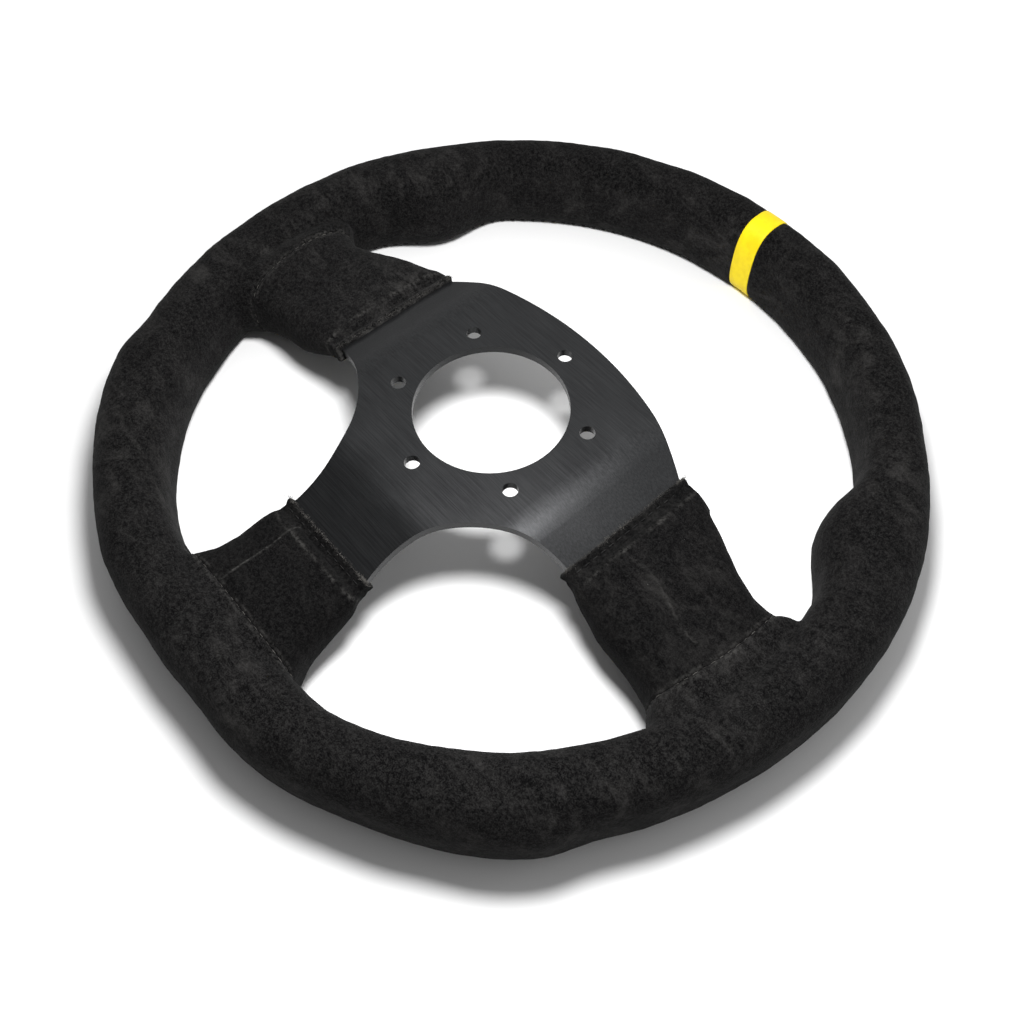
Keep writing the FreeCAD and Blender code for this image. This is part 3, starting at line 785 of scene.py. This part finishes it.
def suede_material(name, depth):
    """Black suede: brushed nap in smudges, fine fibre, a few pale specks of lint."""
    m = Mat(name)
    wide = m.noise(17, 4, 0.6, distortion=0.9)
    brushed = m.noise(60, 5, 0.68, distortion=1.6)
    strokes = m.noise(1, 4, 0.65, m.scaled(45, 150, 90, 0.6), distortion=0.7)
    nap = m.noise(800, 3, 0.75)
    fibre = m.noise(2300, 2, 0.75)
    smudge = m.math("ADD", m.math("MULTIPLY", brushed, 0.5), m.math("MULTIPLY", strokes, 0.5))
    smudge = m.ramp(smudge, 0.46, 0.66)
    shade = m.ramp(wide, 0.38, 0.66)
    tone = m.math("MULTIPLY", m.math("ADD", m.math("MULTIPLY", shade, 0.75), 0.25), smudge)
    fine = m.math("ADD", m.math("MULTIPLY", nap, 0.5), m.math("MULTIPLY", fibre, 0.5))
    fine = m.ramp(fine, 0.40, 0.64)
    base = m.mix(tone, (0.0022, 0.0022, 0.0024), (depth, 0.96 * depth, 0.93 * depth))
    grain = m.mix(fine, (0.0002, 0.0002, 0.0002), (0.95 * depth, 0.92 * depth, 0.9 * depth))
    cloth = m.mix(0.45, base, grain)
    lint = m.ramp(m.cells(210), 0.0, 0.055, 1.0, 0.0)
    rare = m.ramp(m.noise(75, 1, 0.5), 0.66, 0.70)
    specked = m.mix(m.math("MULTIPLY", lint, rare), cloth, (0.13, 0.13, 0.125))
    # pale rubbed nap, and the painted highlight along the laps, read from the mesh
    worn = m.add("ShaderNodeAttribute", attribute_name="wear_and_lap_highlight").outputs["Fac"]
    worn = m.math("MULTIPLY", worn, m.ramp(nap, 0.35, 0.6))
    m.colour(m.mix(worn, specked, (0.075, 0.073, 0.069)))
    m.roughness(m.ramp(tone, 0.0, 1.0, 0.9, 1.0))
    height = m.math("ADD", m.math("MULTIPLY", nap, 0.7), m.math("MULTIPLY", fibre, 0.5))
    soft = m.bump(brushed, 0.0009, 0.5)
    m.normal(m.bump(height, 0.0004, 0.9, soft))
    m.fixed(Specular_IOR_Level=0.04, Sheen_Weight=0.02, Sheen_Roughness=0.5)
    return m.material


def stripe_material():
    m = Mat("stripe_yellow")
    patches = m.noise(160, 4, 0.6)
    grain = m.noise(1800, 2, 0.6)
    m.colour(m.mix(m.ramp(patches, 0.35, 0.65), (0.84, 0.63, 0.0), (0.93, 0.72, 0.0)))
    m.roughness(m.ramp(grain, 0.3, 0.7, 0.5, 0.7))
    m.normal(m.bump(grain, 0.0001, 0.4))
    m.fixed(Specular_IOR_Level=0.35)
    return m.material


def plate_material():
    """Black anodised sheet, brushed along X, darker on its cut edges: painted shade for the walls of
    its bore, holes and windows.
    """
    m = Mat("anodised_plate")
    lines = m.noise(1, 3, 0.7, m.scaled(38, 2600, 2600))
    fine = m.noise(1, 2, 0.7, m.scaled(110, 6500, 6500))
    smudge = m.noise(30, 4, 0.6)
    grain = m.math("ADD", m.math("MULTIPLY", lines, 0.6), m.math("MULTIPLY", fine, 0.4))
    face = m.mix(m.ramp(grain, 0.35, 0.65), (0.020, 0.0204, 0.0216), (0.036, 0.037, 0.0385))
    shape = m.add("ShaderNodeNewGeometry")
    split = m.add("ShaderNodeSeparateXYZ")
    m.link(shape.outputs["True Normal"], split.inputs[0])
    upright = m.math("ABSOLUTE", split.outputs["Z"])
    # cut edges darker than the face: painted shade on the walls
    edge = m.ramp(upright, 0.25, 0.7, 1.0, 0.0)
    m.colour(m.mix(edge, face, (0.014, 0.0145, 0.015)))
    rough = m.ramp(m.math("ADD", m.math("MULTIPLY", grain, 0.5), m.math("MULTIPLY", smudge, 0.5)),
                   0.35, 0.65, 0.30, 0.42)
    m.roughness(rough)
    m.normal(m.bump(grain, 0.00006, 0.7))
    m.fixed(Metallic=0.75, Specular_IOR_Level=0.5)
    return m.material


def steel_material():
    m = Mat("drawn_steel")
    grain = m.noise(700, 3, 0.6)
    stain = m.noise(60, 4, 0.6)
    m.colour(m.mix(m.ramp(stain, 0.35, 0.7), (0.36, 0.36, 0.37), (0.48, 0.46, 0.43)))
    m.roughness(m.ramp(grain, 0.3, 0.7, 0.32, 0.5))
    m.normal(m.bump(grain, 0.0001, 0.3))
    m.fixed(Metallic=1.0)
    return m.material


def rivet_material():
    m = Mat("rivet_alloy")
    grain = m.noise(1500, 3, 0.6)
    m.colour(m.mix(m.ramp(grain, 0.3, 0.7), (0.62, 0.62, 0.63), (0.74, 0.74, 0.75)))
    m.roughness(m.ramp(grain, 0.3, 0.7, 0.28, 0.42))
    m.normal(m.bump(grain, 0.00005, 0.3))
    m.fixed(Metallic=1.0)
    return m.material


def foam_material():
    m = Mat("moulded_foam")
    pores = m.cells(2200)
    skin = m.noise(350, 4, 0.6)
    m.colour(m.mix(m.ramp(skin, 0.3, 0.7), (0.014, 0.014, 0.015), (0.034, 0.033, 0.033)))
    m.roughness(m.ramp(skin, 0.3, 0.7, 0.7, 0.9))
    m.normal(m.bump(pores, 0.0001, 0.5))
    return m.material


def thread_material(name, dark, light):
    m = Mat(name)
    twist = m.noise(3500, 2, 0.6)
    worn = m.noise(240, 3, 0.6)
    m.colour(m.mix(m.ramp(worn, 0.35, 0.65), dark, light))
    m.roughness(m.ramp(twist, 0.3, 0.7, 0.6, 0.9))
    m.normal(m.bump(twist, 0.00012, 0.8))
    m.fixed(Specular_IOR_Level=0.3)
    return m.material


SUEDE_MAT = suede_material("suede_black", 0.036)
# a darker copy of the same suede, painted shade, for the right and bottom sleeves
SHADED_SUEDE_MAT = suede_material("suede_black_painted_shade", 0.021)
STRIPE_MAT = stripe_material()
STEEL_MAT = steel_material()
FOAM_MAT = foam_material()
SEAM_THREAD_MAT = thread_material("seam_thread_grey", (0.016, 0.015, 0.014), (0.09, 0.086, 0.078))
DARK_THREAD_MAT = thread_material("hem_thread_black", (0.006, 0.006, 0.0065), (0.016, 0.0155, 0.015))
FRAY_MAT = thread_material("frayed_fibre", (0.022, 0.021, 0.02), (0.1, 0.095, 0.087))


# ---------------------------------------------------------------- suede pieces

def rim_cover():
    points, quads = surface(skin_distance, *RIM_BOX, RIM_CELL)
    mesh = new_mesh("rim_cover_suede", points, quads)
    trimmed(mesh, lambda b: cut_side(b, -1, True), lambda b: cut_side(b, 1, True),
            lambda b: cut_lower(b, True), lambda b: cut_stripe(b, True), keep_largest)
    dressed(mesh, relief)
    piece = new_piece("rim_cover_suede", mesh, SUEDE_MAT, ["rim_cover"])
    thicken(piece, RIM_SUEDE)
    return piece


def keep_largest(bm):
    """Drop every island but the one with the most faces."""
    todo = set(bm.faces)
    best = []
    while todo:
        island = [todo.pop()]
        for face in island:
            for edge in face.edges:
                for other in edge.link_faces:
                    if other in todo:
                        todo.discard(other)
                        island.append(other)
        if len(island) > len(best):
            best = island
    best = set(best)
    bmesh.ops.delete(bm, geom=[f for f in bm.faces if f not in best], context="FACES")


def sleeve(name, box, keep, node, material):
    points, quads = surface(skin_distance, *box, SLEEVE_CELL)
    mesh = new_mesh(name, points, quads)
    trimmed(mesh, keep, keep_largest)
    dressed(mesh, lambda p: relief(p) + hem_relief(p))
    piece = new_piece(name, mesh, material, [node])
    thicken(piece, SLEEVE_SUEDE)
    return piece


def side_sleeve(side, sign, material):
    ends = sorted((sign * SIDE_BOX_NEAR, sign * SIDE_BOX_FAR))
    box = ((ends[0], -SIDE_BOX_HALF, BOX_BOTTOM), (ends[1], SIDE_BOX_HALF, 0))
    return sleeve(f"sleeve_{side}_suede", box, lambda b: cut_side(b, sign, False),
                  f"spoke_sleeve_{side}", material)


def lower_sleeve():
    # the bottom sleeve takes the darker copy of the suede, painted shade
    return sleeve("sleeve_bottom_suede", LOWER_BOX, lambda b: cut_lower(b, False),
                  "spoke_sleeve_bottom", SHADED_SUEDE_MAT)


def stripe():
    points, quads = surface(skin_distance, *STRIPE_BOX, SLEEVE_CELL)
    mesh = new_mesh("stripe_band", points, quads)
    trimmed(mesh, lambda b: cut_stripe(b, False), keep_largest)
    dressed(mesh, lambda p: 0.3 * stripe_relief(p) + 0.06)
    piece = new_piece("stripe_band", mesh, STRIPE_MAT, ["centre_stripe"])
    thicken(piece, STRIPE_THICK)
    return piece


def foam_core():
    points, quads = surface(foam_distance, *RIM_BOX, FOAM_CELL, -FOAM_UNDER)
    mesh = new_mesh("foam_core", points, quads)
    return new_piece("foam_core", mesh, FOAM_MAT, ["rim_foam"])


# ---------------------------------------------------------------- stitches

def boundary_loop(mesh):
    """Ordered points of the longest open edge of a mesh, in mm."""
    bm = bmesh.new()
    bm.from_mesh(mesh)
    used = set()
    best = []
    for edge in bm.edges:
        if not edge.is_boundary or edge in used:
            continue
        used.add(edge)
        chain = [edge.verts[0], edge.verts[1]]
        while True:
            following = [e for e in chain[-1].link_edges if e.is_boundary and e not in used]
            if not following:
                break
            used.add(following[0])
            chain.append(following[0].other_vert(chain[-1]))
        if len(chain) > len(best):
            best = chain
    out = np.array([v.co for v in best]) / MM
    bm.free()
    return out


def even(points, count):
    """Evenly spaced points along a line, and its length."""
    run = np.r_[0, np.cumsum(np.linalg.norm(np.diff(points, axis=0), axis=1))]
    at = np.linspace(0, run[-1], count, endpoint=False)
    return np.stack([np.interp(at, run, points[:, i]) for i in range(3)], axis=1), run[-1]


def tube_parts(line, radius, up, sides=6):
    """Rings and faces of a short thread along a line of points, closed at both ends."""
    line = np.asarray(line)
    count = len(line)
    way = np.gradient(line, axis=0)
    way /= np.linalg.norm(way, axis=1, keepdims=True)
    side = np.cross(way, up)
    side /= np.linalg.norm(side, axis=1, keepdims=True)
    lift = np.cross(side, way)
    turn = np.arange(sides) * 2 * np.pi / sides
    taper = np.ones(count)
    taper[0] = taper[-1] = 0.45
    ring = side[:, None] * np.cos(turn)[None, :, None] + lift[:, None] * np.sin(turn)[None, :, None]
    rings = line[:, None] + ring * (radius * taper)[:, None, None]
    points = rings.reshape(-1, 3)
    faces = []
    for i in range(count - 1):
        for j in range(sides):
            k = (j + 1) % sides
            faces.append((i * sides + j, (i + 1) * sides + j, (i + 1) * sides + k, i * sides + k))
    ends = [tuple(range(sides)), tuple((count - 1) * sides + j for j in range(sides))[::-1]]
    return points, faces, ends


def thread_mesh(name, tubes):
    points, faces = [], []
    start = 0
    for pts, quads, ends in tubes:
        points.append(pts)
        faces += [tuple(i + start for i in f) for f in quads + ends]
        start += len(pts)
    mesh = bpy.data.meshes.new(name)
    mesh.from_pydata((np.concatenate(points) * MM).tolist(), [], faces)
    mesh.update()
    return mesh


def arched(here, way, up, length, rise, radius):
    """One stitch: a short thread that dives at both ends."""
    t = np.linspace(-1, 1, 7)[:, None]
    line = here + way * t * length / 2 + up * (rise * (1 - t ** 4) - STITCH_DIVE * t ** 4)
    return tube_parts(line, radius, up)


def seam_stitches(name, sleeve_piece, node):
    """Pale stitches round a sleeve's seam, with some worn away."""
    loop = boundary_loop(sleeve_piece.data)
    _, length = even(loop, 4)
    count = int(length / SEAM_PITCH)
    marks, _ = even(loop, count * 2)
    base = settle(skin_distance, marks)
    up = gradient(skin_distance, base)
    tubes = []
    for i in range(count):
        if rng.random() < SEAM_MISSING:
            continue
        here, after = marks[2 * i], marks[(2 * i + 1) % len(marks)]
        way = (after - here) / np.linalg.norm(after - here)
        long = SEAM_STITCH + rng.uniform(-SEAM_STITCH_SPREAD, SEAM_STITCH_SPREAD)
        skew = up[2 * i] + rng.normal(size=3) * SEAM_STITCH_SKEW
        skew /= np.linalg.norm(skew)
        tubes.append(arched(here, way, skew, long, SEAM_STITCH_RISE, SEAM_THREAD_R))
    mesh = thread_mesh(name, tubes)
    return new_piece(name, mesh, SEAM_THREAD_MAT, [node])


def hem_stitches(name, start, end, face_up, node):
    """Running stitches on the upper and under side of a hem."""
    tubes = []
    for up, a, b in ((face_up, start[0], end[0]), (-face_up, start[1], end[1])):
        way = b - a
        length = np.linalg.norm(way)
        way = way / length
        count = int(length / HEM_PITCH)
        for i in range(count):
            here = a + way * length * (i + 0.5) / count
            here = settle(skin_distance, here[None])[0] - up * HEM_STITCH_SINK
            tubes.append(arched(here, way, up, HEM_STITCH, HEM_STITCH_RISE, HEM_THREAD_R))
    mesh = thread_mesh(name, tubes)
    return new_piece(name, mesh, DARK_THREAD_MAT, [node])


def slope_point(bend, slope, along, height):
    """Z of a point that stands `height` over the middle of the plate's slope."""
    middle = -(along - bend) * math.tan(slope) - PLATE_THICK / 2 / math.cos(slope)
    return middle + height / math.cos(slope)


def side_hem_stitches(side, sign):
    along = SIDE_HEM_X + HEM_LINE
    half = PLATE_THICK / 2 + HEM_GROW
    heights = [slope_point(SIDE_BEND_X, SIDE_SLOPE, along, h) for h in (half, -half)]
    start = [np.array((sign * along, SIDE_LOW_Y + HEM_STITCH_MARGIN, z)) for z in heights]
    end = [np.array((sign * along, SIDE_TOP_Y - HEM_STITCH_MARGIN, z)) for z in heights]
    up = np.array((sign * math.sin(SIDE_SLOPE), 0, math.cos(SIDE_SLOPE)))
    return hem_stitches(f"hem_stitches_{side}", start, end, up, f"hem_thread_{side}")


def lower_hem_stitches():
    along = LOWER_HEM_Y + HEM_LINE
    half = PLATE_THICK / 2 + HEM_GROW
    heights = [slope_point(LOWER_BEND_Y, LOWER_SLOPE, along, h) for h in (half, -half)]
    half_w = LOWER_HALF_W - HEM_STITCH_MARGIN
    start = [np.array((-half_w, -along, z)) for z in heights]
    end = [np.array((half_w, -along, z)) for z in heights]
    up = np.array((0, -math.sin(LOWER_SLOPE), math.cos(LOWER_SLOPE)))
    return hem_stitches("hem_stitches_bottom", start, end, up, "hem_thread_bottom")


def frayed_hem(name, along, low, high, place, up, out):
    """Loose suede fibres standing off the cut edge of a hem, on its upper face."""
    tubes = []
    for _ in range(FRAY_COUNT):
        side = rng.uniform(low - HEM_GROW, high + HEM_GROW)
        if rng.random() < 0.35:
            side = rng.choice((low, high)) + rng.normal() * 0.9
        here = place(along + rng.normal() * 0.22, side)
        lean = out * rng.uniform(0.2, 1.0) + up * rng.uniform(-0.1, 0.7) + rng.normal(size=3) * 0.5
        lean /= np.linalg.norm(lean)
        curl = np.cross(lean, rng.normal(size=3))
        long = rng.uniform(0.4, 1.3)
        t = np.linspace(0, 1, 5)[:, None]
        line = here + lean * t * long + curl * t * t * long * 0.35
        tubes.append(tube_parts(line, rng.uniform(0.03, 0.07), up + curl * 0.1, 4))
    return new_piece(name, thread_mesh(name, tubes), FRAY_MAT)


def side_fray(side, sign):
    up = np.array((sign * math.sin(SIDE_SLOPE), 0, math.cos(SIDE_SLOPE)))
    out = np.array((-sign * math.cos(SIDE_SLOPE), 0, math.sin(SIDE_SLOPE)))
    height = PLATE_THICK / 2 + HEM_GROW - FRAY_DEPTH

    def place(along, across):
        return np.array((sign * along, across, slope_point(SIDE_BEND_X, SIDE_SLOPE, along, height)))
    return frayed_hem(f"hem_fray_{side}", SIDE_HEM_X + FRAY_INSET, SIDE_LOW_Y, SIDE_TOP_Y,
                      place, up, out)


def lower_fray():
    up = np.array((0, -math.sin(LOWER_SLOPE), math.cos(LOWER_SLOPE)))
    out = np.array((0, math.cos(LOWER_SLOPE), math.sin(LOWER_SLOPE)))
    height = PLATE_THICK / 2 + HEM_GROW - FRAY_DEPTH

    def place(along, across):
        return np.array((across, -along, slope_point(LOWER_BEND_Y, LOWER_SLOPE, along, height)))
    return frayed_hem("hem_fray_bottom", LOWER_HEM_Y + FRAY_INSET, -LOWER_HALF_W, LOWER_HALF_W,
                      place, up, out)


def folded(angle):
    """Angle above three or nine o'clock, whichever is nearer, from -90 to 90 degrees."""
    if angle > 90:
        return 180 - angle
    if angle < -90:
        return -180 - angle
    return angle


def rim_point(angle, turn):
    """Point on the plain rim: angle about the rim centre, turn round the section, degrees."""
    fold = folded(angle)
    outer = np.interp(fold, FOLDED, RIM_OUTER)
    inner = np.interp(fold, FOLDED, RIM_INNER)
    c, s = math.cos(math.radians(turn)), math.sin(math.radians(turn))
    across = math.copysign(abs(c) ** (2 / SECTION_POWER), c)
    rise = math.copysign(abs(s) ** (2 / SECTION_POWER), s)
    radius = (outer + inner) / 2 + (outer - inner) / 2 * across
    a = math.radians(angle)
    return np.array((radius * math.cos(a), RIM_CENTRE_Y + radius * math.sin(a),
                     RIM_MID_Z + RIM_HALF_H * rise))


def cover_stitches():
    """Short stitches across the closing seam, low on the inside of the rim."""
    tubes = []
    for i in range(COVER_STITCHES):
        angle = -180 + 360 * (i + 0.5) / COVER_STITCHES
        fold = folded(angle)
        if SIDE_ROOT_FROM < fold < SIDE_ROOT_TO or fold < LOWER_ROOT_TO:
            continue
        line = np.array([rim_point(angle + 0.25 * k, COVER_SEAM_AT + 3 * k)
                         for k in (-2, -1, 0, 1, 2)])
        line = settle(skin_distance, line)
        up = gradient(skin_distance, line[2:3])[0]
        line += up * COVER_STITCH_RISE[:, None]
        tubes.append(tube_parts(line, COVER_THREAD_R, up))
    mesh = thread_mesh("cover_seam_stitches", tubes)
    return new_piece("cover_seam_stitches", mesh, DARK_THREAD_MAT,
                     ["cover_seam_thread"])


def broken_edges(node):
    """Take the sharpness off a CAD node's edges."""
    bevel = node.modifiers.new("broken_edges", "BEVEL")
    bevel.width = EDGE_BREAK * MM
    bevel.segments = 2
    bevel.angle_limit = math.radians(40)


# ---------------------------------------------------------------- build

# the right sleeve takes the darker copy of the suede, painted shade
SIDES = (("left", -1, SUEDE_MAT), ("right", 1, SHADED_SUEDE_MAT))

rim = rim_cover()
sleeves = {side: side_sleeve(side, sign, plain_or_shaded_suede) for side, sign, plain_or_shaded_suede in SIDES}
sleeves["bottom"] = lower_sleeve()
stripe()
core = foam_core()
for side, cover in sleeves.items():
    seam_stitches(f"seam_stitches_{side}", cover, f"seam_thread_{side}")
hems = {side: [side_hem_stitches(side, sign), side_fray(side, sign)] for side, sign, _ in SIDES}
hems["bottom"] = [lower_hem_stitches(), lower_fray()]
cover_stitches()

CAD_LOOKS = {"spoke_plate": plate_material(), "rim_hoop": STEEL_MAT, "hoop_tab_left": STEEL_MAT,
             "hoop_tab_right": STEEL_MAT, "hoop_tab_bottom": STEEL_MAT, "tab_welds": STEEL_MAT,
             "spoke_rivets": rivet_material()}
broken_edges(nodes["spoke_plate"])
for node_name, look in CAD_LOOKS.items():
    slots = nodes[node_name].data.materials
    slots.clear()
    slots.append(look)


# ---------------------------------------------------------------- floor, lights, camera

def floor():
    """White paper that glows softly away from the wheel, as under a bright studio."""
    mesh = bpy.data.meshes.new("floor")
    h, z = FLOOR_HALF, FLOOR_Z * MM
    mesh.from_pydata([(-h, -h, z), (h, -h, z), (h, h, z), (-h, h, z)], [], [(0, 1, 2, 3)])
    obj = bpy.data.objects.new("floor", mesh)
    SCENE.collection.objects.link(obj)
    m = Mat("paper_floor")
    m.colour(m.mix(m.noise(4, 2), (0.93, 0.93, 0.93), (0.95, 0.95, 0.95)))
    m.fixed(Roughness=0.9, Specular_IOR_Level=0.2)
    reach = m.add("ShaderNodeVectorMath", operation="LENGTH")
    m.link(m.where, reach.inputs[0])
    glow = m.ramp(reach.outputs["Value"], GLOW_FROM, GLOW_TO, 0.0, GLOW)
    m.shader.inputs["Emission Color"].default_value = (1, 1, 1, 1)
    m.link(glow, m.shader.inputs["Emission Strength"])
    mesh.materials.append(m.material)


def disc_light(name, place, aim, size, power):
    data = bpy.data.lights.new(name, "AREA")
    data.shape = "DISK"
    data.size = size
    data.energy = power
    obj = bpy.data.objects.new(name, data)
    obj.location = place
    obj.rotation_euler = (Vector(aim) - Vector(place)).to_track_quat("-Z", "Y").to_euler()
    SCENE.collection.objects.link(obj)


def world():
    """Plain white surroundings, brighter beyond twelve o'clock than on the near side."""
    SCENE.world = bpy.data.worlds.new("studio")
    SCENE.world.use_nodes = True
    tree = SCENE.world.node_tree
    background = tree.nodes["Background"]
    background.inputs["Color"].default_value = (1, 1, 1, 1)
    where = tree.nodes.new("ShaderNodeTexCoord")
    split = tree.nodes.new("ShaderNodeSeparateXYZ")
    ramp = tree.nodes.new("ShaderNodeMapRange")
    ramp.interpolation_type = "SMOOTHSTEP"
    for name, number in (("From Min", -0.5), ("From Max", 0.8),
                         ("To Min", WORLD_NEAR), ("To Max", WORLD_FAR)):
        ramp.inputs[name].default_value = number
    tree.links.new(where.outputs["Generated"], split.inputs[0])
    tree.links.new(split.outputs["Y"], ramp.inputs["Value"])
    tree.links.new(ramp.outputs["Result"], background.inputs["Strength"])


def camera():
    data = bpy.data.cameras.new("camera")
    data.sensor_width = SENSOR_WIDTH
    data.lens = CAMERA_LENS
    data.clip_start = 0.01
    obj = bpy.data.objects.new("camera", data)
    SCENE.collection.objects.link(obj)
    place = Vector(CAMERA_AT)
    turn = (Vector(CAMERA_AIM) - place).to_track_quat("-Z", "Y").to_matrix()
    roll = Matrix.Rotation(CAMERA_ROLL, 3, "Z")
    obj.matrix_world = Matrix.Translation(place) @ (turn @ roll).to_4x4()
    SCENE.camera = obj


floor()
disc_light("overhead_softbox", SOFTBOX_AT, (0, 0, 0), SOFTBOX_SIZE, SOFTBOX_POWER)
world()
camera()
SCENE.view_settings.view_transform = "Standard"
SCENE.view_settings.look = "None"
